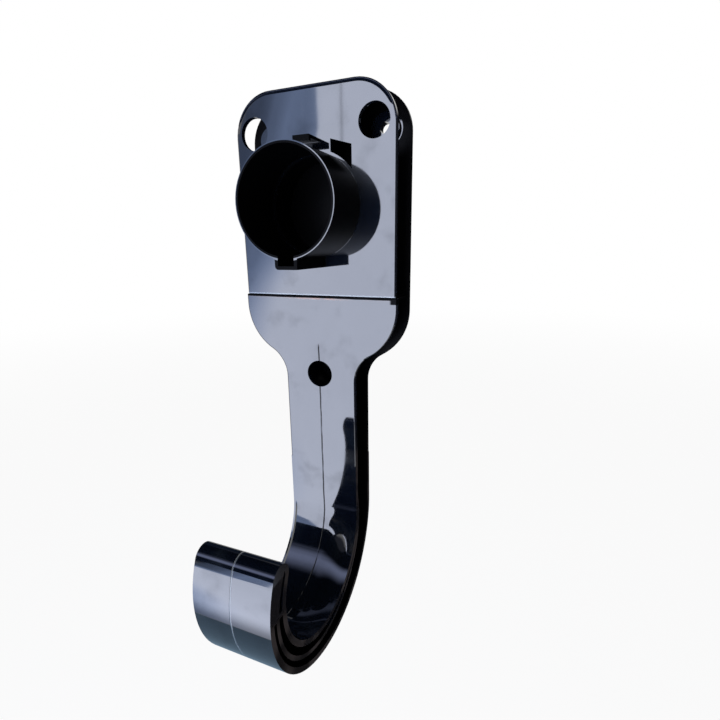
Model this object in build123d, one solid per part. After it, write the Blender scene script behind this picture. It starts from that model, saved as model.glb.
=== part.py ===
from build123d import *
from math import atan2, degrees, hypot, sqrt
import os

# Wall holder for a charging cable, moulded as one piece: a screw plate with a plug socket,
# an arm below it and a hook for the coiled cable. Millimetres. The wall is the plane Y = 0,
# the front looks along -Y, and the socket's axis meets the wall at the origin.

# Front view
BACK_HALF_WIDTH = 41.8
UPPER_HALF_WIDTH = 40.1
LOWER_HALF_WIDTH = 40.9
ARM_HALF_WIDTH = 19.3
TOP_Z = 50.9
CORNER_RADIUS = 19.0
BACK_SHOULDER_Z = -49.0
FRONT_SHOULDER_Z = -46.4
SHOULDER_RADIUS = 27.0
NECK_RADIUS = 16.7
SEAM_Z = -41.4

# Section from the side
DEPTH = 19.5
SKIN = 2.6
WEB_HALF = 1.5
RIB = 2.2
EDGE_ROUND = 0.7
SEAM_ROUND = 0.45

# Hook, seen from the side as (Y, Z)
OUTER_RADIUS = 50.6
OUTER_CENTRE = (-OUTER_RADIUS, -157.8)
INNER_RADIUS = 35.3
INNER_CENTRE = (-DEPTH - INNER_RADIUS, -157.2)
TIP_ROUND = 5.6
TIP_HALF_WIDTH = 18.2
MIDDLE_CENTRE = (-56.3, -159.0)
MIDDLE_RADIUS = 40.7
MIDDLE_RIB = 1.9
TIP_RIB_Z = -156.0

# Plug socket
BARREL_RADIUS = 23.4
BORE_RADIUS = 22.1
BARREL_LENGTH = 27.3
KEY_HALF_WIDTH = 3.9
KEY_BOTTOM_Z = -26.0
KEY_WALL = 1.5
KEY_ROUND = 1.6

# Catch over the socket
CATCH_HALF_WIDTH = 4.0
CATCH_REACH = 10.0
CATCH_LOW_Z = 26.1
CATCH_TOP_Z = 28.6
CATCH_BAR = 1.8
CATCH_STRAP = 1.3

# Windows in the front skin beside the catch
WINDOW_INNER_X = 9.3
WINDOW_OUTER_X = 19.5
WINDOW_INNER_Z = 28.2
WINDOW_OUTER_Z = 25.2
WINDOW_GAP = 1.2

# Screw places
SCREW_X = 30.0
SCREW_Z = 33.5
LOWER_SCREW_Z = -81.0
ACCESS_RADIUS = 7.25
LOWER_ACCESS_RADIUS = 6.9
SCREW_RADIUS = 2.6
BOSS_RADIUS = 6.5
BOSS_HEIGHT = 2.0
TUBE_WALL = 1.5

FRONT_Y = -DEPTH
MOUTH_Y = FRONT_Y - BARREL_LENGTH
HOOK_LOW_Z = OUTER_CENTRE[1] - OUTER_RADIUS
ARM_END_Z = -130.0


def turned(face, start_y, end_y):
    """Solid of a front-view face between two depths, both measured along Y."""
    return Pos(0, start_y, 0) * extrude(face, start_y - end_y)


def front_face(half_width, shoulder_z):
    """Plate and arm in front view: rounded top corners, S-shaped shoulders and a straight arm."""
    turn_x = ARM_HALF_WIDTH + NECK_RADIUS - (half_width - SHOULDER_RADIUS)
    turn_z = sqrt((SHOULDER_RADIUS + NECK_RADIUS) ** 2 - turn_x**2)
    turn = degrees(atan2(turn_z, turn_x))
    with BuildSketch(Plane.XZ) as sketch:
        with BuildLine():
            top = Line((0, TOP_Z), (half_width - CORNER_RADIUS, TOP_Z))
            corner = JernArc(top @ 1, (1, 0), CORNER_RADIUS, -90)
            side = Line(corner @ 1, (half_width, shoulder_z))
            shoulder = JernArc(side @ 1, (0, -1), SHOULDER_RADIUS, -turn)
            neck = JernArc(shoulder @ 1, shoulder % 1, NECK_RADIUS, turn)
            arm = Line(neck @ 1, (ARM_HALF_WIDTH, ARM_END_Z))
            Line(arm @ 1, (0, ARM_END_Z))
            Line((0, ARM_END_Z), (0, TOP_Z))
        make_face()
        mirror(about=Plane.YZ)
    return sketch.sketch


def tip_centre():
    """Centre of the round that runs from the hook's outer arc to its inner arc."""
    outer_reach = OUTER_RADIUS - TIP_ROUND
    inner_reach = INNER_RADIUS + TIP_ROUND
    step_y = INNER_CENTRE[0] - OUTER_CENTRE[0]
    step_z = INNER_CENTRE[1] - OUTER_CENTRE[1]
    apart = hypot(step_y, step_z)
    along = (outer_reach**2 - inner_reach**2 + apart**2) / (2 * apart)
    across = sqrt(outer_reach**2 - along**2)
    centre_y = OUTER_CENTRE[0] + (along * step_y + across * step_z) / apart
    centre_z = OUTER_CENTRE[1] + (along * step_z - across * step_y) / apart
    return centre_y, centre_z


def side_face(inset):
    """Side view of the whole J, drawn in from the outside by the inset."""
    centre = tip_centre()
    outer_angle = degrees(atan2(centre[1] - OUTER_CENTRE[1], centre[0] - OUTER_CENTRE[0]))
    inner_angle = degrees(atan2(centre[1] - INNER_CENTRE[1], centre[0] - INNER_CENTRE[0]))
    with BuildSketch(Plane.YZ) as sketch:
        with BuildLine():
            back = Line((-inset, TOP_Z - inset), (-inset, OUTER_CENTRE[1]))
            CenterArc(OUTER_CENTRE, OUTER_RADIUS - inset, 0, outer_angle - 360)
            CenterArc(centre, TIP_ROUND - inset, outer_angle, inner_angle - 180 - outer_angle)
            CenterArc(INNER_CENTRE, INNER_RADIUS + inset, inner_angle, 360 - inner_angle)
            front = Line((inset - DEPTH, INNER_CENTRE[1]), (inset - DEPTH, TOP_Z - inset))
            Line(front @ 1, back @ 0)
        make_face()
    return sketch.sketch


def rib_face():
    """Side view of every rib that crosses between the skins."""
    with BuildSketch(Plane.YZ) as sketch:
        with Locations(MIDDLE_CENTRE):
            Circle(MIDDLE_RADIUS)
            Circle(MIDDLE_RADIUS - MIDDLE_RIB, mode=Mode.SUBTRACT)
        with Locations((OUTER_CENTRE[0] - OUTER_RADIUS + DEPTH / 2, TIP_RIB_Z)):
            Rectangle(DEPTH, RIB)
        with Locations((-DEPTH / 2, ARM_END_Z)):
            Rectangle(2 * DEPTH, 2 * DEPTH, align=(Align.CENTER, Align.MIN), mode=Mode.SUBTRACT)
        with Locations((-DEPTH / 2, SEAM_Z)):
            Rectangle(DEPTH, RIB)
    return sketch.sketch


def tip_filling():
    """Side view of the solid outer part of the tip, outside the middle rib."""
    with BuildSketch(Plane.YZ) as sketch:
        with Locations((OUTER_CENTRE[0] - OUTER_RADIUS, TIP_RIB_Z)):
            Rectangle(2 * DEPTH, 2 * DEPTH, align=(Align.CENTER, Align.MIN))
        with Locations(MIDDLE_CENTRE):
            Circle(MIDDLE_RADIUS, mode=Mode.SUBTRACT)
    return sketch.sketch


def section_solid():
    """The J-shaped skins with their ribs at full width, and the web down the middle."""
    pockets = side_face(SKIN) - rib_face() - tip_filling()
    skins = extrude(side_face(0) - pockets, BACK_HALF_WIDTH, both=True)
    web = extrude(side_face(0), WEB_HALF, both=True)
    return skins + web


def envelope(half_width):
    """Everything inside the back skin's outline at the wall and the given outline in front."""
    back = turned(front_face(BACK_HALF_WIDTH, BACK_SHOULDER_Z), 0, -SKIN)
    front = turned(front_face(half_width, FRONT_SHOULDER_Z), -SKIN, FRONT_Y)
    return back + front


def hook_envelope():
    """Everything below the arm's end, between sides that close in towards the hook's tip."""
    with BuildSketch(Plane.XY.offset(HOOK_LOW_Z)) as sketch:
        with BuildLine():
            side = Polyline(
                (0, 0),
                (ARM_HALF_WIDTH, 0),
                (ARM_HALF_WIDTH, FRONT_Y),
                (TIP_HALF_WIDTH, -2 * OUTER_RADIUS),
                (0, -2 * OUTER_RADIUS),
            )
            mirror(side, about=Plane.YZ)
        make_face()
    return extrude(sketch.sketch, ARM_END_Z - HOOK_LOW_Z)


def slab(low_z, high_z):
    """Block that holds everything between two heights."""
    width = 4 * BACK_HALF_WIDTH
    return Pos(0, 0, low_z) * Box(width, 2 * width, high_z - low_z, align=(Align.CENTER, Align.CENTER, Align.MIN))


def rounded(block):
    """Block of the plate or arm with its outer rim and its edge along the seam rounded."""
    block = fillet(rim_edges(block), EDGE_ROUND)
    seam = block.edges().filter_by_position(Axis.Y, FRONT_Y, FRONT_Y).filter_by(Axis.X)
    seam = seam.filter_by_position(Axis.Z, SEAM_Z - SEAM_ROUND, SEAM_Z + SEAM_ROUND)
    return fillet(seam, SEAM_ROUND)


def rim_edges(block):
    """Edges of the front and back faces that run up the block's sides."""
    flat = block.edges().filter_by_position(Axis.Y, FRONT_Y, FRONT_Y)
    flat += block.edges().filter_by_position(Axis.Y, 0, 0)
    return [edge for edge in flat if abs(edge.center().X) > TIP_HALF_WIDTH]


def shell():
    """Plate, arm and hook, with the groove of the seam across the front of the plate."""
    section = section_solid()
    upper = section & envelope(UPPER_HALF_WIDTH) & slab(SEAM_Z, TOP_Z)
    lower = section & envelope(LOWER_HALF_WIDTH) & slab(ARM_END_Z, SEAM_Z)
    hook = section & hook_envelope()
    return rounded(upper) + rounded(lower) + hook


def socket_solid():
    """Barrel of the plug socket with the housing of its key slot, from the wall to the mouth."""
    key_half = KEY_HALF_WIDTH + KEY_WALL
    with BuildSketch(Plane.XZ) as sketch:
        Circle(BARREL_RADIUS)
        with Locations((0, KEY_BOTTOM_Z - KEY_WALL)):
            Rectangle(2 * key_half, BARREL_RADIUS, align=(Align.CENTER, Align.MIN))
        fillet(sketch.vertices().sort_by(Axis.Z)[:2], KEY_ROUND)
    return turned(sketch.sketch, 0, MOUTH_Y)


def socket_bore():
    """Blind bore for the plug's nose and the key slot below it."""
    with BuildSketch(Plane.XZ) as sketch:
        Circle(BORE_RADIUS)
        with Locations((0, KEY_BOTTOM_Z)):
            Rectangle(2 * KEY_HALF_WIDTH, BORE_RADIUS, align=(Align.CENTER, Align.MIN))
    return turned(sketch.sketch, -SKIN, MOUTH_Y)


def catch():
    """Bar for the plug's latch, held out in front of the plate by a thin strap."""
    middle_z = (CATCH_LOW_Z + CATCH_TOP_Z) / 2
    bar_y = FRONT_Y - CATCH_REACH + CATCH_BAR / 2
    bar = Pos(0, bar_y, middle_z) * Box(2 * CATCH_HALF_WIDTH, CATCH_BAR, CATCH_TOP_Z - CATCH_LOW_Z)
    strap_z = CATCH_TOP_Z - CATCH_STRAP / 2
    strap_y = FRONT_Y + SKIN / 2 - CATCH_REACH / 2
    strap = Pos(0, strap_y, strap_z) * Box(2 * CATCH_HALF_WIDTH, CATCH_REACH + SKIN / 2, CATCH_STRAP)
    return bar + strap


def window():
    """Opening in the front skin beside the catch, bounded below by the barrel."""
    with BuildSketch(Plane.XZ) as sketch:
        with BuildLine():
            Polyline(
                (WINDOW_INNER_X, 0),
                (WINDOW_INNER_X, WINDOW_INNER_Z),
                (WINDOW_OUTER_X, WINDOW_OUTER_Z),
                (WINDOW_OUTER_X, 0),
                close=True,
            )
        make_face()
        Circle(BARREL_RADIUS + WINDOW_GAP, mode=Mode.SUBTRACT)
    return turned(sketch.sketch, FRONT_Y + SKIN + 1, FRONT_Y - 1)


def disc(x, z, radius, start_y, end_y):
    """Round pin along Y between two depths."""
    with BuildSketch(Plane.XZ) as sketch:
        with Locations((x, z)):
            Circle(radius)
    return turned(sketch.sketch, start_y, end_y)


def build_holder():
    """The whole holder as one solid."""
    body = shell()
    body += disc(0, LOWER_SCREW_Z, LOWER_ACCESS_RADIUS + TUBE_WALL, 0, FRONT_Y)
    body += socket_solid()
    body += catch()
    for x in (-SCREW_X, SCREW_X):
        body += disc(x, SCREW_Z, BOSS_RADIUS, -SKIN / 2, -SKIN - BOSS_HEIGHT)
        body -= disc(x, SCREW_Z, SCREW_RADIUS, 1, -SKIN - BOSS_HEIGHT - 1)
        body -= disc(x, SCREW_Z, ACCESS_RADIUS, FRONT_Y + SKIN + 1, FRONT_Y - 1)
    body -= disc(0, LOWER_SCREW_Z, LOWER_ACCESS_RADIUS, -SKIN, FRONT_Y - 1)
    body -= disc(0, LOWER_SCREW_Z, SCREW_RADIUS, 1, -SKIN - 1)
    body -= socket_bore()
    opening = window()
    body -= opening
    body -= mirror(opening, Plane.YZ)
    return body


os.makedirs("parts", exist_ok=True)
holder = build_holder()
export_step(holder, "parts/holder_body.step")
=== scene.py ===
"""Studio picture of a wall holder for a charging cable, moulded in glossy black plastic."""

import logging
import math
from dataclasses import dataclass, field
from enum import Enum

import bmesh
import bpy
from mathutils import Matrix, Vector


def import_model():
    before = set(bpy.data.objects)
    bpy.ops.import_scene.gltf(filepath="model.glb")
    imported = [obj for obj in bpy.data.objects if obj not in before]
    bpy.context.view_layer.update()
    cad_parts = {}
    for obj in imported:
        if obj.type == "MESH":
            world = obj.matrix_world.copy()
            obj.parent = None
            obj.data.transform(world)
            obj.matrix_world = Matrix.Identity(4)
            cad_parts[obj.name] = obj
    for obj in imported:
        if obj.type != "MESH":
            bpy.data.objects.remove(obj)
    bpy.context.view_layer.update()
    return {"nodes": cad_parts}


LOG = logging.getLogger("cable_holder")
MM = 0.001

WHITE = (1.0, 1.0, 1.0, 1.0)

Colour = tuple[float, float, float]
Point = tuple[float, float, float]
Span = tuple[float, float]


class MathStep(Enum):
    """Arithmetic that a Math node does on one or two numbers."""

    ADD = "ADD"
    SUBTRACT = "SUBTRACT"
    MULTIPLY = "MULTIPLY"
    POWER = "POWER"
    ABSOLUTE = "ABSOLUTE"
    LESS = "LESS_THAN"
    MORE = "GREATER_THAN"
    LEAST = "MINIMUM"
    MOST = "MAXIMUM"


@dataclass
class Bench:
    """Lays nodes into one shader's tree.

    Args:
        tree: The node tree that takes the nodes.
    """

    tree: bpy.types.NodeTree

    def node(
        self,
        kind: str,
        settings: dict | None = None,
        inputs: dict | None = None,
    ) -> bpy.types.Node:
        """Adds a node, sets its settings and then its sockets.

        Args:
            kind: The node's type name.
            settings: Attributes of the node, set before its sockets.
            inputs: Values, sockets or Fields, by socket name or number.

        Returns:
            The new node.
        """
        made = self.tree.nodes.new(kind)
        for name, value in (settings or {}).items():
            setattr(made, name, value)
        for name, value in (inputs or {}).items():
            socket = made.inputs[name]
            if isinstance(value, Field):
                self.tree.links.new(value.socket, socket)
            elif isinstance(value, bpy.types.NodeSocket):
                self.tree.links.new(value, socket)
            else:
                socket.default_value = value
        return made

    def field(self, socket: bpy.types.NodeSocket) -> "Field":
        """Wraps an output socket for arithmetic."""
        return Field(self, socket)

    def coordinates(self) -> bpy.types.NodeSocket:
        """The point's own place on the object, in metres."""
        return self.node("ShaderNodeTexCoord").outputs["Object"]

    def split(self, vector: bpy.types.NodeSocket) -> tuple["Field", "Field", "Field"]:
        """Splits a vector into its three numbers."""
        parts = self.node("ShaderNodeSeparateXYZ", inputs={"Vector": vector})
        return tuple(self.field(parts.outputs[axis]) for axis in "XYZ")

    def stretch(self, vector: bpy.types.NodeSocket, scale: Point) -> bpy.types.NodeSocket:
        """Scales a vector along its axes."""
        inputs = {"Vector": vector, "Scale": scale}
        return self.node("ShaderNodeMapping", inputs=inputs).outputs["Vector"]

    def noise(
        self,
        vector: bpy.types.NodeSocket,
        scale: float,
        detail: float = 2.0,
        rough: float = 0.5,
    ) -> "Field":
        """Smooth random field between 0 and 1.

        Args:
            vector: Where the field is read.
            scale: Cells in a metre.
            detail: How many finer octaves are added.
            rough: Weight of the finer octaves.

        Returns:
            The field's value.
        """
        inputs = {"Vector": vector, "Scale": scale, "Detail": detail, "Roughness": rough}
        return self.field(self.node("ShaderNodeTexNoise", inputs=inputs).outputs["Fac"])

    def ramp(self, value: "Field", low: "Field | float", high: "Field | float") -> "Field":
        """Smooth step from 0 at the low value to 1 at the high value."""
        settings = {"interpolation_type": "SMOOTHSTEP", "clamp": True}
        inputs = {"Value": value, "From Min": low, "From Max": high}
        return self.field(self.node("ShaderNodeMapRange", settings, inputs).outputs["Result"])

    def band(self, value: "Field", centre: "Field | float", half: float, soft: float) -> "Field":
        """1 within half of the centre, falling to 0 over the soft margin."""
        return 1.0 - self.ramp(abs(value - centre), half, half + soft)

    def blend(self, factor: "Field", low: object, high: object) -> bpy.types.NodeSocket:
        """Mixes two colours by a factor.

        Args:
            factor: 0 gives the low colour and 1 the high one.
            low: Colour or colour socket.
            high: Colour or colour socket.

        Returns:
            The mixed colour.
        """
        mixer = self.node("ShaderNodeMix", {"data_type": "RGBA"}, {0: factor})
        for number, value in ((6, low), (7, high)):
            if isinstance(value, bpy.types.NodeSocket):
                self.tree.links.new(value, mixer.inputs[number])
            else:
                mixer.inputs[number].default_value = (*value, 1.0)
        return mixer.outputs[2]


@dataclass
class Field:
    """A number that changes over a surface, with Python's arithmetic.

    Args:
        bench: Where the arithmetic's nodes are added.
        socket: The socket that carries the number.
    """

    bench: Bench
    socket: bpy.types.NodeSocket

    def _step(self, step: MathStep, first: object, second: object = None) -> "Field":
        """Adds one Math node."""
        inputs = {0: first} if second is None else {0: first, 1: second}
        made = self.bench.node("ShaderNodeMath", {"operation": step.value}, inputs)
        return Field(self.bench, made.outputs[0])

    def __add__(self, other: object) -> "Field":
        """Sum."""
        return self._step(MathStep.ADD, self, other)

    def __radd__(self, other: object) -> "Field":
        """Sum with a number on the left."""
        return self._step(MathStep.ADD, other, self)

    def __sub__(self, other: object) -> "Field":
        """Difference."""
        return self._step(MathStep.SUBTRACT, self, other)

    def __rsub__(self, other: object) -> "Field":
        """Difference from a number on the left."""
        return self._step(MathStep.SUBTRACT, other, self)

    def __mul__(self, other: object) -> "Field":
        """Product."""
        return self._step(MathStep.MULTIPLY, self, other)

    def __rmul__(self, other: object) -> "Field":
        """Product with a number on the left."""
        return self._step(MathStep.MULTIPLY, other, self)

    def __pow__(self, other: object) -> "Field":
        """Power."""
        return self._step(MathStep.POWER, self, other)

    def __abs__(self) -> "Field":
        """Distance from 0."""
        return self._step(MathStep.ABSOLUTE, self)

    def below(self, other: object) -> "Field":
        """1 where this is less than the other."""
        return self._step(MathStep.LESS, self, other)

    def above(self, other: object) -> "Field":
        """1 where this is more than the other."""
        return self._step(MathStep.MORE, self, other)

    def at_least(self, other: object) -> "Field":
        """The larger of the two."""
        return self._step(MathStep.MOST, self, other)

    def at_most(self, other: object) -> "Field":
        """The smaller of the two."""
        return self._step(MathStep.LEAST, self, other)


@dataclass(frozen=True)
class GlossBlack:
    """Numbers of the holder's moulded plastic.

    Args:
        black: Colour of the plastic.
        haze: Colour where the surface is wiped or dusty.
        scorch: Colour of the stain under the seam.
        edge_highlight: Colour of the painted highlight on the ribs' sideways-facing edges.
        painted_highlight: Colour of the painted highlight on the parting line along the lip and on the
            rounded rim over the seam.
        satin: Colour of the unpolished walls.
        gloss: Roughness of the clean surface.
        wiped: Extra roughness of the smudges.
        edge_roughness: Extra roughness of the ribs' edges, under their painted highlight.
        index: Refractive index of the polished skin.
        matt: Roughness of the unpolished walls.
        matt_index: Refractive index of the unpolished walls.
        matt_shine: Share of their mirror reflection that the unpolished walls keep.
    """

    black: Colour = (0.0022, 0.0036, 0.0075)
    haze: Colour = (0.012, 0.016, 0.022)
    scorch: Colour = (0.17, 0.06, 0.022)
    # The next two colours are painted highlights: on the ribs' edges, and on the lip's parting line and the
    # seam's rim.
    edge_highlight: Colour = (0.050, 0.042, 0.042)
    painted_highlight: Colour = (0.20, 0.23, 0.26)
    satin: Colour = (0.0012, 0.0012, 0.0016)
    gloss: float = 0.045
    wiped: float = 0.08
    edge_roughness: float = 0.25
    index: float = 1.85
    matt: float = 0.34
    matt_index: float = 1.4
    matt_shine: float = 0.05


@dataclass(frozen=True)
class Wear:
    """Smudges, streaks, dust and painted highlights: cells in a metre, and how strong each mark is.

    Args:
        patch_cells: Cells of the wiped patches.
        patch_share: Strength of the wiped patches.
        streak_cells: Cells of the upright streaks.
        streak_scale: Scale of the streaks' pattern along the height, which draws them out.
        streak_share: Strength of the streaks.
        upper_streak_share: Extra strength of the streaks at the plate's upper left.
        dust_cells: Cells of the dust.
        dust_share: Strength of the dust.
        stain_cells: Cells of the dull stains.
        stain_share: Strength of the dull stains.
        dark_line_share: How dull the parting line is on the arm.
        line_highlight_share: Strength of the painted highlight on the parting line along the lip.
        rim_highlight_share: Strength of the painted highlight on the rounded rim over the seam.
        edge_highlight_share: How much of the painted highlight's colour the ribs' edges show.
    """

    patch_cells: float = 34.0
    patch_share: float = 0.55
    streak_cells: float = 260.0
    streak_scale: float = 0.12
    streak_share: float = 0.10
    upper_streak_share: float = 0.35
    dust_cells: float = 2400.0
    dust_share: float = 0.25
    stain_cells: float = 62.0
    stain_share: float = 0.22
    dark_line_share: float = 0.8
    line_highlight_share: float = 0.45
    rim_highlight_share: float = 0.8
    edge_highlight_share: float = 0.8


@dataclass(frozen=True)
class MouldMarks:
    """Where the mould left its marks, in metres.

    Args:
        seam_z: Height of the seam across the plate.
        stain_drop: How far the stain lies under the seam.
        rim_highlight_rise: How far the painted highlight on the rim lies over the seam.
        notch_x: Where the notch at the seam's right end starts.
        front_y: Depth of the plate's front face.
        skin: Thickness of the skins.
        line_top: Height where the middle parting line starts.
        line_wander: How far the parting line wanders.
        socket_reach: Distance of the socket's mouth from the wall.
        socket_radius: Outer radius of the socket.
        socket_foot: Height under which nothing of the socket stands before the front.
        screw_x: Distance of the upper screws from the middle.
        screw_z: Height of the upper screws.
        screw_bore: Radius of the upper screws' access bores.
        top_z: Height of the plate's top edge.
        half_width: Half of the upper plate's width.
        corner: Radius of the plate's corners.
        hook_y: Depth of the hook's axis.
        hook_z: Height of the hook's axis.
        hollow_low: Inner radius of the hollow between the hook's skins.
        hollow_high: Outer radius of that hollow.
        bend_y: Depth of the axis of the hook's inner skin.
        bend_reach: Distance from that axis within which only the inner skin lies.
        bend_half: Half of the hook's width at the bend.
        lip_y: Depth where the lip starts.
        lip_front_y: Depth where the lip's front starts.
        lip_z: Height at which the lip starts to roll over.
        edge_highlight_low: Height under which the ribs' edges carry the painted highlight.
        edge_highlight_high: Height over which they don't carry it.
    """

    seam_z: float = -41.4 * MM
    stain_drop: float = 1.15 * MM
    rim_highlight_rise: float = 0.55 * MM
    notch_x: float = 37.0 * MM
    front_y: float = -19.5 * MM
    skin: float = 2.6 * MM
    line_top: float = -64.5 * MM
    line_wander: float = 1.1 * MM
    socket_reach: float = 46.8 * MM
    socket_radius: float = 23.4 * MM
    socket_foot: float = -62.0 * MM
    screw_x: float = 30.0 * MM
    screw_z: float = 33.5 * MM
    screw_bore: float = 7.5 * MM
    top_z: float = 50.9 * MM
    half_width: float = 40.1 * MM
    corner: float = 19.0 * MM
    hook_y: float = -50.6 * MM
    hook_z: float = -157.8 * MM
    hollow_low: float = 40.0 * MM
    hollow_high: float = 50.0 * MM
    bend_y: float = -54.8 * MM
    bend_reach: float = 37.0 * MM
    bend_half: float = 17.2 * MM
    lip_y: float = -75.0 * MM
    lip_front_y: float = -80.0 * MM
    lip_z: float = -141.7 * MM
    edge_highlight_low: float = -125.0 * MM
    edge_highlight_high: float = -110.0 * MM


@dataclass(frozen=True)
class FineRelief:
    """Heights, in metres, and slopes of the small forms that only the normal carries.

    Args:
        swell: Height of the skin's long waves.
        sink: Height of its short waves.
        line: Height of the parting line.
        groove: Depth of the seam.
        top_slope: Slope of the roll along the plate's top edge.
        top_width: Width of that roll.
        top_ease: Distance over which it sets in.
        lip_slope: Slope of the roll under the lip's tip.
        lip_ease: Distance over which it sets in.
        bend_slope: Slope of the bend's fuller start.
        bend_start: How far over the hook's axis it starts.
        bend_ease: Distance over which it sets in.
        bend_hold: Distance under its start where it begins to run out.
        bend_end: Distance under its start where it has run out.
    """

    swell: float = 0.07 * MM
    sink: float = 0.008 * MM
    line: float = 0.08 * MM
    groove: float = 0.12 * MM
    top_slope: float = 0.24
    top_width: float = 1.9 * MM
    top_ease: float = 0.5 * MM
    lip_slope: float = 0.34
    lip_ease: float = 1.2 * MM
    bend_slope: float = 0.26
    bend_start: float = 0.8 * MM
    bend_ease: float = 8.0 * MM
    bend_hold: float = 19.0 * MM
    bend_end: float = 33.0 * MM


@dataclass
class MouldedPlastic:
    """Material of the one-piece moulding, with its parting lines, seam, sinks and smudges, and painted
    highlights on the seam's rim, the lip's parting line and the ribs' edges.

    Args:
        finish: Colours, gloss and refraction.
        wear: Smudges, streaks, dust and stains, and the strength of the painted highlights.
        marks: Places of the mould's marks.
        fine: Sizes of the small forms in the normal.
    """

    finish: GlossBlack = field(default_factory=GlossBlack)
    wear: Wear = field(default_factory=Wear)
    marks: MouldMarks = field(default_factory=MouldMarks)
    fine: FineRelief = field(default_factory=FineRelief)

    def build(self) -> bpy.types.Material:
        """Makes the material.

        Returns:
            The finished material.
        """
        material = bpy.data.materials.new("gloss_black_moulding")
        material.use_nodes = True
        material.node_tree.nodes.clear()
        bench = Bench(material.node_tree)
        place = bench.coordinates()
        x, y, z = bench.split(place)
        smudge = self.smudges(bench, place, x, z)
        line = self.parting_line(bench, place, x, z)
        lip = y.below(self.marks.lip_y)
        groove = self.groove(bench, place, x, y, z)
        # Mask of the painted highlight on the ribs' sideways edges; the same mask makes them rougher and
        # satin.
        edge = self.rib_edge_highlights(bench, place, z)
        normal = self.relief(bench, place, (x, y, z), line, groove)
        # The base colour carries painted highlights on the seam's rim, the lip's parting line and the ribs'
        # edges.
        polished = bench.node(
            "ShaderNodeBsdfPrincipled",
            {"distribution": "MULTI_GGX"},
            {
                "Base Color": self.colour(bench, place, (x, y, z), smudge, line * lip, edge),
                "Roughness": self.finish.gloss + smudge * self.finish.wiped + edge * self.finish.edge_roughness,
                "IOR": self.finish.index,
                "Normal": normal,
            },
        )
        unpolished = bench.node(
            "ShaderNodeBsdfPrincipled",
            {"distribution": "MULTI_GGX"},
            {
                # The painted highlight on the ribs' edges shows on the satin walls too.
                "Base Color": bench.blend(edge, self.finish.satin, self.finish.edge_highlight),
                "Roughness": self.finish.matt,
                "IOR": self.finish.matt_index,
                "Specular IOR Level": self.finish.matt_shine,
                "Normal": normal,
            },
        )
        dull = self.unpolished(bench, x, y, z)
        dark_line = line * (1.0 - lip) * self.wear.dark_line_share
        stains = bench.ramp(bench.noise(place, self.wear.stain_cells, 3.0, 0.55), 0.52, 0.78)
        where = (dull + groove + dark_line + edge + stains * self.wear.stain_share).at_most(1.0)
        shaders = {0: where, 1: polished.outputs[0], 2: unpolished.outputs[0]}
        mixed = bench.node("ShaderNodeMixShader", inputs=shaders)
        bench.node("ShaderNodeOutputMaterial", inputs={"Surface": mixed.outputs[0]})
        return material

    def unpolished(self, bench: Bench, x: Field, y: Field, z: Field) -> Field:
        """Walls that the mould leaves satin: the socket, and the pockets between the skins.

        Args:
            bench: The shader's bench.
            x: Distance from the middle.
            y: Depth.
            z: Height.

        Returns:
            1 on the satin walls, and 0 on the polished faces and in the upper screws' bores.
        """
        marks = self.marks
        front, mouth_y = marks.front_y, -marks.socket_reach
        above_arm = bench.ramp(z, marks.socket_foot, marks.socket_foot + 2.0 * MM)
        proud = 1.0 - bench.ramp(y, front - 0.5 * MM, front - 0.2 * MM)
        mouth = 1.0 - bench.ramp(y, mouth_y + 0.2 * MM, mouth_y + 0.4 * MM)
        reach = (x * x + z * z) ** 0.5
        bright_rim = mouth * bench.band(reach, marks.socket_radius, 0.35 * MM, 0.15 * MM)
        before_back = 1.0 - bench.ramp(y, -0.5 * MM, -0.2 * MM)
        inside = bench.ramp(y, front + marks.skin - 0.3 * MM, front + marks.skin) * before_back
        across, up = abs(x) - marks.screw_x, z - marks.screw_z
        off_screw = (across * across + up * up) ** 0.5
        upper_hole = bench.ramp(off_screw, marks.screw_bore, marks.screw_bore + 0.2 * MM)
        arm = bench.ramp(z, marks.hook_z, marks.hook_z + 2.0 * MM)
        deep, low = y - marks.hook_y, z - marks.hook_z
        bend = (deep * deep + low * low) ** 0.5
        past_inner = bench.ramp(bend, marks.hollow_low, marks.hollow_low + 0.5 * MM)
        before_outer = 1.0 - bench.ramp(bend, marks.hollow_high, marks.hollow_high + 0.4 * MM)
        hollow = past_inner * before_outer * (1.0 - arm)
        socket = proud * above_arm * (1.0 - bright_rim)
        return (socket + inside * arm * upper_hole + hollow).at_most(1.0)

    def smudges(self, bench: Bench, place: bpy.types.NodeSocket, x: Field, z: Field) -> Field:
        """Wiped patches and fine dust.

        Args:
            bench: The shader's bench.
            place: Object coordinates.
            x: Distance from the middle.
            z: Height.

        Returns:
            0 on the clean surface and 1 in the worst of a smudge.
        """
        wear = self.wear
        cloud = bench.ramp(bench.noise(place, wear.patch_cells, 4.0, 0.6), 0.50, 0.74)
        drawn_out = bench.stretch(place, (1.0, 1.0, wear.streak_scale))
        streak = bench.ramp(bench.noise(drawn_out, wear.streak_cells, 2.0), 0.55, 0.8)
        dust = bench.ramp(bench.noise(place, wear.dust_cells, 1.0), 0.70, 0.80)
        upper = bench.ramp(z, 15.0 * MM, 30.0 * MM) * (1.0 - bench.ramp(x, -4.0 * MM, 4.0 * MM))
        streaks = streak * (wear.streak_share + upper * wear.upper_streak_share)
        return (cloud * wear.patch_share + streaks + dust * wear.dust_share).at_most(1.0)

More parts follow.
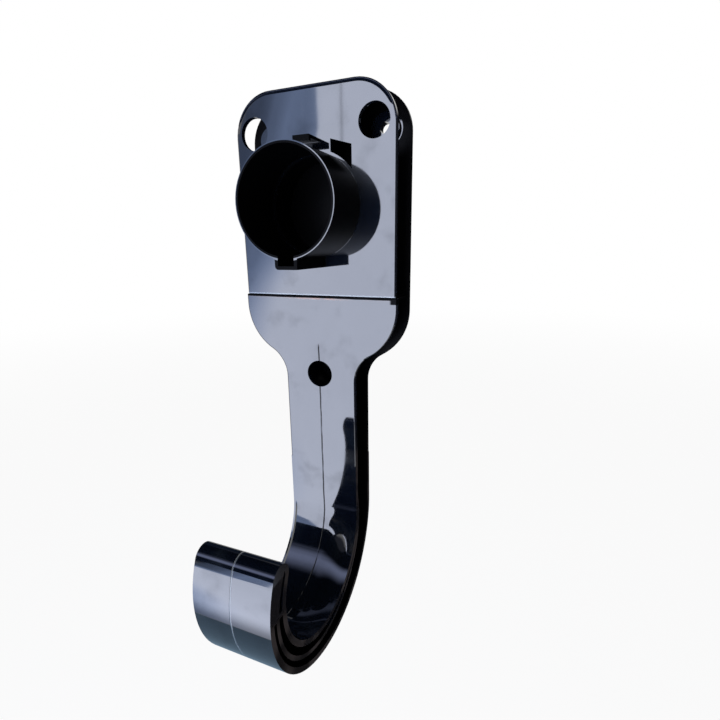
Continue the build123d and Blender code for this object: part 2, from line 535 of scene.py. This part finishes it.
    def parting_line(self, bench: Bench, place: bpy.types.NodeSocket, x: Field, z: Field) -> Field:
        """The line that the two side halves of the mould leave down the middle.

        Args:
            bench: The shader's bench.
            place: Object coordinates.
            x: Distance from the middle.
            z: Height.

        Returns:
            1 on the line and 0 away from it.
        """
        offset = x - (bench.noise(place, 55.0, 3.0, 0.6) - 0.5) * self.marks.line_wander
        under = 1.0 - bench.ramp(z, self.marks.line_top - 3.0 * MM, self.marks.line_top)
        broken = bench.ramp(bench.noise(place, 120.0, 2.0), 0.34, 0.52)
        return bench.band(offset, 0.0, 0.16 * MM, 0.26 * MM) * under * (0.5 + broken * 0.5)

    def groove(self, bench: Bench, place: bpy.types.NodeSocket, x: Field, y: Field, z: Field) -> Field:
        """Dark groove of the seam across the plate, with the notch at its right end.

        Args:
            bench: The shader's bench.
            place: Object coordinates.
            x: Distance from the middle.
            y: Depth.
            z: Height.

        Returns:
            1 in the groove and 0 away from it.
        """
        marks = self.marks
        drift = (bench.noise(place, 60.0, 2.0) - 0.5) * (0.5 * MM)
        strip = bench.band(z, marks.seam_z - 0.35 * MM + drift, 0.42 * MM, 0.3 * MM)
        right = bench.ramp(x, marks.notch_x, marks.notch_x + 1.2 * MM)
        notch = right * bench.band(z, marks.seam_z - 1.5 * MM, 1.1 * MM, 0.5 * MM)
        front = 1.0 - bench.ramp(y, marks.front_y + 0.8 * MM, marks.front_y + 2.5 * MM)
        return (strip + notch).at_most(1.0) * front

    def rib_edge_highlights(self, bench: Bench, place: bpy.types.NodeSocket, z: Field) -> Field:
        """Edges of the skins and ribs that face sideways, where a highlight is painted in patches.

        Args:
            bench: The shader's bench.
            place: Object coordinates.
            z: Height.

        Returns:
            Up to 1 on those edges on the arm and hook, and 0 elsewhere.
        """
        facing = bench.split(bench.node("ShaderNodeNewGeometry").outputs["Normal"])[0]
        patchy = 0.25 + 0.75 * bench.ramp(bench.noise(place, 48.0, 2.0), 0.42, 0.62)
        low = 1.0 - bench.ramp(z, self.marks.edge_highlight_low, self.marks.edge_highlight_high)
        return bench.ramp(abs(facing), 0.9, 0.97) * low * patchy

    def relief(
        self,
        bench: Bench,
        place: bpy.types.NodeSocket,
        axes: tuple[Field, Field, Field],
        line: Field,
        groove: Field,
    ) -> bpy.types.NodeSocket:
        """Sinks, rolled edges, the fuller bend and the mould's lines, as a normal.

        Args:
            bench: The shader's bench.
            place: Object coordinates.
            axes: The coordinates' three numbers.
            line: The parting line's mask.
            groove: The seam's mask.

        Returns:
            The bumped normal.
        """
        fine = self.fine
        swell = bench.noise(place, 16.0, 1.0, 0.4) * fine.swell
        sink = bench.noise(place, 70.0, 2.0, 0.5) * fine.sink
        lines = line * fine.line - groove * fine.groove
        rolled = self.rolled_top(bench, *axes) + self.rolled_lip(*axes[1:])
        height = swell + sink + lines + self.full_bend(bench, *axes) - rolled
        inputs = {"Strength": 1.0, "Distance": 1.0, "Height": height}
        return bench.node("ShaderNodeBump", inputs=inputs).outputs["Normal"]

    @staticmethod
    def eased(run: Field, ease: float) -> Field:
        """Height of a slope of 1 that sets in as an arc over a distance."""
        start = run.at_most(ease)
        return start * start * (0.5 / ease) + run - start

    def rolled_top(self, bench: Bench, x: Field, y: Field, z: Field) -> Field:
        """How far the plate's front rolls back along its top edge."""
        marks, fine = self.marks, self.fine
        across = (abs(x) - (marks.half_width - marks.corner)).at_least(0.0)
        up = (z - (marks.top_z - marks.corner)).at_least(0.0)
        reach = (across * across + up * up) ** 0.5
        roll = self.eased((reach - (marks.corner - fine.top_width)).at_least(0.0), fine.top_ease)
        on_front = y.above(marks.front_y - 1.5 * MM)
        return roll * fine.top_slope * bench.ramp(z, 34.0 * MM, 44.0 * MM) * on_front

    def rolled_lip(self, y: Field, z: Field) -> Field:
        """How far the lip's face rolls back under its rounded tip."""
        roll = self.eased((z - self.marks.lip_z).at_least(0.0), self.fine.lip_ease)
        return roll * self.fine.lip_slope * y.below(self.marks.lip_front_y)

    def full_bend(self, bench: Bench, x: Field, y: Field, z: Field) -> Field:
        """Fullness of the inner skin where the arm turns into the hook, running out to the right."""
        marks, fine = self.marks, self.fine
        run = (marks.hook_z + fine.bend_start - z).at_least(0.0).at_most(fine.bend_end)
        end = (run - fine.bend_hold).at_least(0.0)
        rise = self.eased(run, fine.bend_ease) - end * end * (0.5 / (fine.bend_end - fine.bend_hold))
        deep, low = y - marks.bend_y, z - marks.hook_z
        skin = ((deep * deep + low * low) ** 0.5).below(marks.bend_reach)
        within = 1.0 - bench.ramp(abs(x), marks.bend_half, marks.bend_half + 1.0 * MM)
        side = (1.0 - bench.ramp(x, 2.0 * MM, 18.0 * MM)) * within
        return rise * fine.bend_slope * skin * side * bench.ramp(y, -70.0 * MM, -40.0 * MM)

    def colour(
        self,
        bench: Bench,
        place: bpy.types.NodeSocket,
        axes: tuple[Field, Field, Field],
        smudge: Field,
        line_highlight_mask: Field,
        edge: Field,
    ) -> bpy.types.NodeSocket:
        """Near-black with haze and the seam's stain, and painted highlights on the rim over the seam, the
        lip's parting line and the ribs' edges.

        Args:
            bench: The shader's bench.
            place: Object coordinates.
            axes: The coordinates' three numbers.
            smudge: Mask of the wiped patches.
            line_highlight_mask: Mask of the real parting line on the lip, which is painted pale as a
                highlight.
            edge: Mask of the ribs' edges, where the highlight is painted.

        Returns:
            The colour.
        """
        x, y, z = axes
        marks, wear, finish = self.marks, self.wear, self.finish
        front = 1.0 - bench.ramp(y, marks.front_y + 0.3 * MM, marks.front_y + 1.0 * MM)
        middle = 0.15 + 0.85 * (1.0 - bench.ramp(abs(x), 4.0 * MM, 22.0 * MM))
        patchy = bench.ramp(bench.noise(place, 160.0, 3.0), 0.30, 0.62)
        stain = bench.band(z, marks.seam_z - marks.stain_drop, 0.3 * MM, 0.5 * MM) * front * middle * patchy
        # Painted highlight along the rounded rim just over the seam.
        rim_highlight = bench.band(z, marks.seam_z + marks.rim_highlight_rise, 0.16 * MM, 0.25 * MM) * front
        pale = rim_highlight * wear.rim_highlight_share + line_highlight_mask * wear.line_highlight_share
        tone = bench.blend(smudge, finish.black, finish.haze)
        # Painted highlight on the ribs' sideways edges.
        tone = bench.blend(edge * wear.edge_highlight_share, tone, finish.edge_highlight)
        # Painted highlights on the rim over the seam and on the lip's parting line.
        tone = bench.blend(pale, tone, finish.painted_highlight)
        return bench.blend(stain, tone, finish.scorch)


@dataclass
class Holder:
    """The one-piece moulding: plate, socket, arm and hook.

    Args:
        node: Name of its solid in the frame.
        plastic: Its material.
    """

    node: str = "holder_body"
    plastic: MouldedPlastic = field(default_factory=MouldedPlastic)

    def dress(self, nodes: dict[str, bpy.types.Object]) -> bpy.types.Object:
        """Gives the moulding its material.

        Args:
            nodes: The frame's objects by name.

        Returns:
            The dressed object.
        """
        body = nodes[self.node]
        material = self.plastic.build()
        body.data.materials.clear()
        body.data.materials.append(material)
        return body


@dataclass(frozen=True)
class WingBorder:
    """Border between a panel's dim wing and its bright part, in metres on the panel.

    Args:
        across: Where the border runs at its plainest, from the panel's left side.
        sharp: Half of its width where it is sharpest, near the top.
        blur: Extra half width under the middle.
        blur_rise: Heights between which that blur ends.
        bulge: How far the border lies further right over the middle.
        bulge_rise: Heights between which it moves there.
        low_blur: Extra half width near the foot.
        low_shift: How far the border lies further right near the foot.
        low_rise: Heights between which the foot's part ends.
        lean: Slope to the left near the top.
        lean_rise: Height where that slope starts.
    """

    across: float = 0.185
    sharp: float = 0.003
    blur: float = 0.075
    blur_rise: Span = (0.80, 1.10)
    bulge: float = 0.077
    bulge_rise: Span = (0.64, 0.92)
    low_blur: float = 0.03
    low_shift: float = 0.15
    low_rise: Span = (0.25, 0.55)
    lean: float = 0.24
    lean_rise: float = 1.174

    def mask(self, bench: Bench, across: Field, rise: Field) -> Field:
        """Where the bright part is.

        Args:
            bench: The shader's bench.
            across: Distance from the panel's left side.
            rise: Distance from its foot.

        Returns:
            0 in the wing and 1 in the bright part.
        """
        low_part = 1.0 - bench.ramp(rise, *self.low_rise)
        under_middle = 1.0 - bench.ramp(rise, *self.blur_rise)
        spread = self.sharp + self.blur * under_middle + self.low_blur * low_part
        lean = self.lean * (rise - self.lean_rise).at_least(0.0)
        bulge = self.bulge * bench.ramp(rise, *self.bulge_rise)
        edge = self.across + bulge + self.low_shift * low_part - lean
        return bench.ramp(across, edge - spread, edge + spread)


@dataclass(frozen=True)
class PanelLight:
    """Brightness of a studio panel over its own width and height.

    Args:
        peak: Radiance of the bright part.
        tint: Its colour.
        wing_tint: Colour of the dim wing at its left.
        wing_low: Brightness of the wing at its left side, as a share of the peak.
        wing_gain: How much brighter the wing is at its border.
        foot: Height over which the light fades in from the bottom.
        foot_low: Brightness at the bottom, as a share of the peak.
        joint: Where the joint between the two upper cloths runs, from the panel's left side.
        joint_lean: Slope of the joint to the left.
        joint_rise: Height where the joint crosses that place.
        joint_shade: How dark the joint is.
    """

    peak: float = 4.4
    tint: Colour = (0.90, 0.97, 1.19)
    wing_tint: Colour = (0.66, 0.87, 1.42)
    wing_low: float = 0.10
    wing_gain: float = 0.24
    foot: float = 0.26
    foot_low: float = 0.30
    joint: float = 0.343
    joint_lean: float = 0.2
    joint_rise: float = 1.12
    joint_shade: float = 0.5


@dataclass
class Softbox:
    """Large leaning softbox before the holder, on its left.

    Args:
        low: Middle of its bottom edge.
        top: Middle of its top edge.
        width: Its width.
        light: Its brightness.
        border: Border of its dim wing.
    """

    low: Point = (-0.325, -0.45, -0.75)
    top: Point = (-0.325, -1.10, 0.50)
    width: float = 0.85
    light: PanelLight = field(default_factory=PanelLight)
    border: WingBorder = field(default_factory=WingBorder)

    def build(self) -> bpy.types.Object:
        """Makes the panel and stands it in the studio.

        Returns:
            The panel.
        """
        low, top = Vector(self.low), Vector(self.top)
        rise = top - low
        up = rise.normalized()
        across = Vector((1.0, 0.0, 0.0))
        out = across.cross(up)
        panel = flat_panel("main_softbox", self.width, rise.length, self.material(rise.length))
        turn = Matrix((across, up, out)).transposed().to_4x4()
        panel.matrix_world = Matrix.Translation((low + top) / 2) @ turn
        return panel

    def material(self, height: float) -> bpy.types.Material:
        """Glow of the panel, with its dim wing, its fading foot and the joint between its cloths.

        Args:
            height: The panel's height.

        Returns:
            The material.
        """
        material = bpy.data.materials.new("softbox_glow")
        material.use_nodes = True
        material.node_tree.nodes.clear()
        bench = Bench(material.node_tree)
        light = self.light
        place = bench.coordinates()
        x, y, _ = bench.split(place)
        across = x + self.width / 2
        rise = y + height / 2
        core = self.border.mask(bench, across, rise)
        folds = bench.noise(bench.stretch(place, (1.0, 0.10, 1.0)), 26.0, 2.0)
        towards_core = bench.ramp(across, 0.02, self.border.across)
        wing = (light.wing_low + light.wing_gain * towards_core) * (0.65 + 0.7 * folds)
        foot = light.foot_low + (1.0 - light.foot_low) * bench.ramp(rise, 0.0, light.foot)
        leaning = across + light.joint_lean * (rise - light.joint_rise)
        upper = bench.ramp(rise, light.joint_rise - 0.06, light.joint_rise - 0.02)
        joint = bench.band(leaning, light.joint, 0.002, 0.003) * upper
        cloth = 0.93 + 0.14 * bench.noise(place, 7.0, 3.0, 0.6)
        shaded = light.peak * foot * cloth * (1.0 - light.joint_shade * joint)
        strength = shaded * (wing + (1.0 - wing) * core)
        colour = bench.blend(core, light.wing_tint, light.tint)
        glow = bench.node("ShaderNodeEmission", inputs={"Color": colour, "Strength": strength})
        bench.node("ShaderNodeOutputMaterial", inputs={"Surface": glow.outputs["Emission"]})
        return material


def flat_panel(name: str, width: float, height: float, material: bpy.types.Material) -> bpy.types.Object:
    """Upright studio panel that the camera doesn't see.

    Args:
        name: The panel's name.
        width: Its width.
        height: Its height.
        material: Its material.

    Returns:
        The panel, lying on the XY plane.
    """
    shape = bmesh.new()
    bmesh.ops.create_grid(shape, x_segments=1, y_segments=1, size=0.5)
    bmesh.ops.scale(shape, vec=(width, height, 1.0), verts=shape.verts)
    mesh = bpy.data.meshes.new(name)
    shape.to_mesh(mesh)
    shape.free()
    mesh.materials.append(material)
    panel = bpy.data.objects.new(name, mesh)
    bpy.context.scene.collection.objects.link(panel)
    panel.visible_camera = False
    return panel


@dataclass
class ToneCard:
    """Card beside the set that only the glossy plastic reflects.

    Args:
        name: The card's name.
        centre: Its middle.
        faces: The point that it faces.
        width: Its width.
        height: Its height.
        tone: Its brightness, as a colour.
        fade: Where along its height the tone sets in, peaks and ends, from its bottom edge, or nothing.
        soft: Width of its thin rim, where it lets the room show through.
    """

    name: str
    centre: Point
    faces: Point
    width: float
    height: float
    tone: Colour = (0.01, 0.01, 0.012)
    fade: Point | None = None
    soft: float = 0.18

    def build(self) -> bpy.types.Object:
        """Makes the card and stands it in the studio.

        Returns:
            The card.
        """
        card = flat_panel(self.name, self.width, self.height, self.material())
        card.visible_diffuse = False
        card.visible_shadow = False
        aim = Vector(self.faces) - Vector(self.centre)
        turn = aim.to_track_quat("Z", "Y").to_matrix().to_4x4()
        card.matrix_world = Matrix.Translation(self.centre) @ turn
        return card

    def material(self) -> bpy.types.Material:
        """Even glow in the card's tone, clear at the rim.

        Returns:
            The material.
        """
        material = bpy.data.materials.new(f"{self.name}_felt")
        material.use_nodes = True
        material.node_tree.nodes.clear()
        bench = Bench(material.node_tree)
        x, y, _ = bench.split(bench.coordinates())
        inputs = {"Color": (*self.tone, 1.0)}
        if self.fade:
            start, peak, end = self.fade
            along = y + self.height / 2
            inputs["Strength"] = bench.ramp(along, start, peak) * (1.0 - bench.ramp(along, peak, end))
        glow = bench.node("ShaderNodeEmission", inputs=inputs)
        from_side = bench.ramp(self.width / 2 - abs(x), 0.0, self.soft)
        solid = from_side * bench.ramp(self.height / 2 - abs(y), 0.0, self.soft)
        clear = bench.node("ShaderNodeBsdfTransparent")
        shaders = {0: solid, 1: clear.outputs[0], 2: glow.outputs[0]}
        mixed = bench.node("ShaderNodeMixShader", inputs=shaders)
        bench.node("ShaderNodeOutputMaterial", inputs={"Surface": mixed.outputs[0]})
        return material


def reflection_cards() -> list[ToneCard]:
    """The cards round the holder, most of them dark, that its gloss mirrors.

    Returns:
        The cards in the order in which they are built.
    """
    return [
        ToneCard("back_right_card", (0.46, 0.75, -0.14), (0.0, 0.0, -0.08), 1.25, 1.3),
        ToneCard("right_card", (1.3, 0.0, 0.1), (0.0, 0.0, 0.1), 2.6, 2.4, tone=(0.05, 0.05, 0.06)),
        ToneCard(
            "side_grey_card",
            (0.80, 0.52, -0.10),
            (0.0, 0.0, -0.08),
            0.64,
            1.2,
            tone=(0.30, 0.33, 0.40),
            soft=0.25,
        ),
        ToneCard(
            "front_right_card",
            (0.80, -1.35, 0.1),
            (0.0, 0.0, 0.0),
            1.3,
            2.4,
            tone=(0.10, 0.10, 0.12),
        ),
        ToneCard(
            "back_card",
            (-0.75, 1.10, 0.42),
            (0.0, 0.0, -0.15),
            1.4,
            1.1,
            tone=(0.02, 0.03, 0.06),
            soft=0.3,
        ),
        ToneCard("back_floor_card", (0.30, 1.20, -0.79), (0.30, 1.20, 0.0), 2.0, 2.8),
        ToneCard(
            "low_card",
            (-0.36, 0.20, -0.765),
            (-0.36, 0.20, 0.0),
            0.95,
            1.32,
            tone=(0.20, 0.30, 0.40),
            soft=0.01,
        ),
        ToneCard(
            "ceiling",
            (-0.10, -0.45, 0.85),
            (-0.10, -0.45, 0.0),
            3.7,
            3.2,
            tone=(0.95, 1.1, 1.75),
            fade=(1.25, 1.50, 1.85),
        ),
    ]


@dataclass(frozen=True)
class FloorPaint:
    """Pale paint of the floor and how it shows the object's shadow.

    Args:
        albedo: Brightness of the paint.
        shown: Share of plain white that the camera sees under the object, where the shadow falls.
        near: Distance from the middle where that share starts to rise.
        far: Distance where the floor is plain white.
    """

    albedo: float = 0.92
    shown: float = 0.90
    near: float = 1.5
    far: float = 6.0


@dataclass
class Studio:
    """Pale floor, white surroundings and soft light.

    Args:
        floor_z: Height of the floor.
        floor_half: Half the floor's side.
        ambient: Strength of the soft light from all round.
        paint: The floor's paint.
        softbox: The main light.
        cards: The cards that only the glossy plastic reflects.
    """

    floor_z: float = -0.80
    floor_half: float = 40.0
    ambient: float = 0.5
    paint: FloorPaint = field(default_factory=FloorPaint)
    softbox: Softbox = field(default_factory=Softbox)
    cards: list[ToneCard] = field(default_factory=reflection_cards)

    def build(self) -> None:
        """Sets up the floor, the surroundings, the softbox and the cards."""
        self.surroundings()
        self.floor()
        self.softbox.build()
        for card in self.cards:
            card.build()

    def surroundings(self) -> None:
        """White seen by the camera and in reflections, and a softer level that lights the object."""
        world = bpy.data.worlds.new("white_room")
        bpy.context.scene.world = world
        world.use_nodes = True
        world.node_tree.nodes.clear()
        bench = Bench(world.node_tree)
        strength = self.ambient + (1.0 - self.ambient) * self.seen(bench)
        sky = bench.node("ShaderNodeBackground", inputs={"Color": WHITE, "Strength": strength})
        bench.node("ShaderNodeOutputWorld", inputs={"Surface": sky.outputs["Background"]})

    @staticmethod
    def seen(bench: Bench) -> Field:
        """1 for rays that show a surface: camera, glossy and transmission rays."""
        path = bench.node("ShaderNodeLightPath")
        names = ("Is Camera Ray", "Is Glossy Ray", "Is Transmission Ray")
        camera, glossy, clear = (bench.field(path.outputs[name]) for name in names)
        return camera.at_least(glossy).at_least(clear)

    def floor(self) -> bpy.types.Object:
        """Pale floor that keeps the object's faint shadow.

        Returns:
            The floor.
        """
        shape = bmesh.new()
        bmesh.ops.create_grid(shape, x_segments=1, y_segments=1, size=self.floor_half)
        bmesh.ops.translate(shape, vec=(0.0, 0.0, self.floor_z), verts=shape.verts)
        mesh = bpy.data.meshes.new("studio_floor")
        shape.to_mesh(mesh)
        shape.free()
        mesh.materials.append(self.floor_material())
        ground = bpy.data.objects.new("studio_floor", mesh)
        bpy.context.scene.collection.objects.link(ground)
        return ground

    def floor_material(self) -> bpy.types.Material:
        """Pale paint that the camera sees nearly white, so that only the shadow stands out.

        Returns:
            The material.
        """
        material = bpy.data.materials.new("pale_floor")
        material.use_nodes = True
        material.node_tree.nodes.clear()
        bench = Bench(material.node_tree)
        colour = (self.paint.albedo, self.paint.albedo, self.paint.albedo, 1.0)
        diffuse = bench.node("ShaderNodeBsdfDiffuse", inputs={"Color": colour})
        white = bench.node("ShaderNodeEmission", inputs={"Color": WHITE, "Strength": 1.0})
        x, y, _ = bench.split(bench.coordinates())
        far = bench.ramp((x * x + y * y) ** 0.5, self.paint.near, self.paint.far)
        shown = self.seen(bench) * (self.paint.shown + (1.0 - self.paint.shown) * far)
        shaders = {0: shown, 1: diffuse.outputs[0], 2: white.outputs[0]}
        mixed = bench.node("ShaderNodeMixShader", inputs=shaders)
        bench.node("ShaderNodeOutputMaterial", inputs={"Surface": mixed.outputs[0]})
        return material


@dataclass(frozen=True)
class Camera:
    """The photograph's viewpoint.

    Args:
        place: Where the camera stands.
        yaw: Its turn to the left, in radians.
        pitch: Its tilt, in radians, up positive.
        roll: Its lean, in radians.
        lens: Focal length in millimetres.
        sensor: Width of the sensor in millimetres.
        near: Nearest distance that it shows.
        far: Furthest distance that it shows.
    """

    place: Point = (0.100145, -0.211219, -0.018008)
    yaw: float = 0.3854
    pitch: float = -0.2543
    roll: float = 0.0112
    lens: float = 21.902
    sensor: float = 36.0
    near: float = 0.01
    far: float = 50.0

    def build(self) -> bpy.types.Object:
        """Makes the scene's camera.

        Returns:
            The camera.
        """
        flat = math.cos(self.pitch)
        forward = Vector((-math.sin(self.yaw) * flat, math.cos(self.yaw) * flat, math.sin(self.pitch)))
        level = Vector((math.cos(self.yaw), math.sin(self.yaw), 0.0))
        down = forward.cross(level)
        right = level * math.cos(self.roll) + down * math.sin(self.roll)
        up = level * math.sin(self.roll) - down * math.cos(self.roll)
        data = bpy.data.cameras.new("photo_view")
        data.lens = self.lens
        data.sensor_width = self.sensor
        data.clip_start = self.near
        data.clip_end = self.far
        camera = bpy.data.objects.new("photo_view", data)
        bpy.context.scene.collection.objects.link(camera)
        turn = Matrix((right, up, -forward)).transposed().to_4x4()
        camera.matrix_world = Matrix.Translation(self.place) @ turn
        bpy.context.scene.camera = camera
        return camera


def main() -> None:
    """Builds the holder's looks, the studio and the camera."""
    logging.basicConfig(level=logging.INFO, format="%(message)s")
    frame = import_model()
    body = Holder().dress(frame["nodes"])
    LOG.info("dressed %s: %d faces", body.name, len(body.data.polygons))
    Studio().build()
    LOG.info("studio built")
    camera = Camera().build()
    LOG.info("camera %s at %s", camera.name, tuple(camera.location))
    bpy.context.scene.view_settings.view_transform = "Standard"


if __name__ == "__main__":
    main()
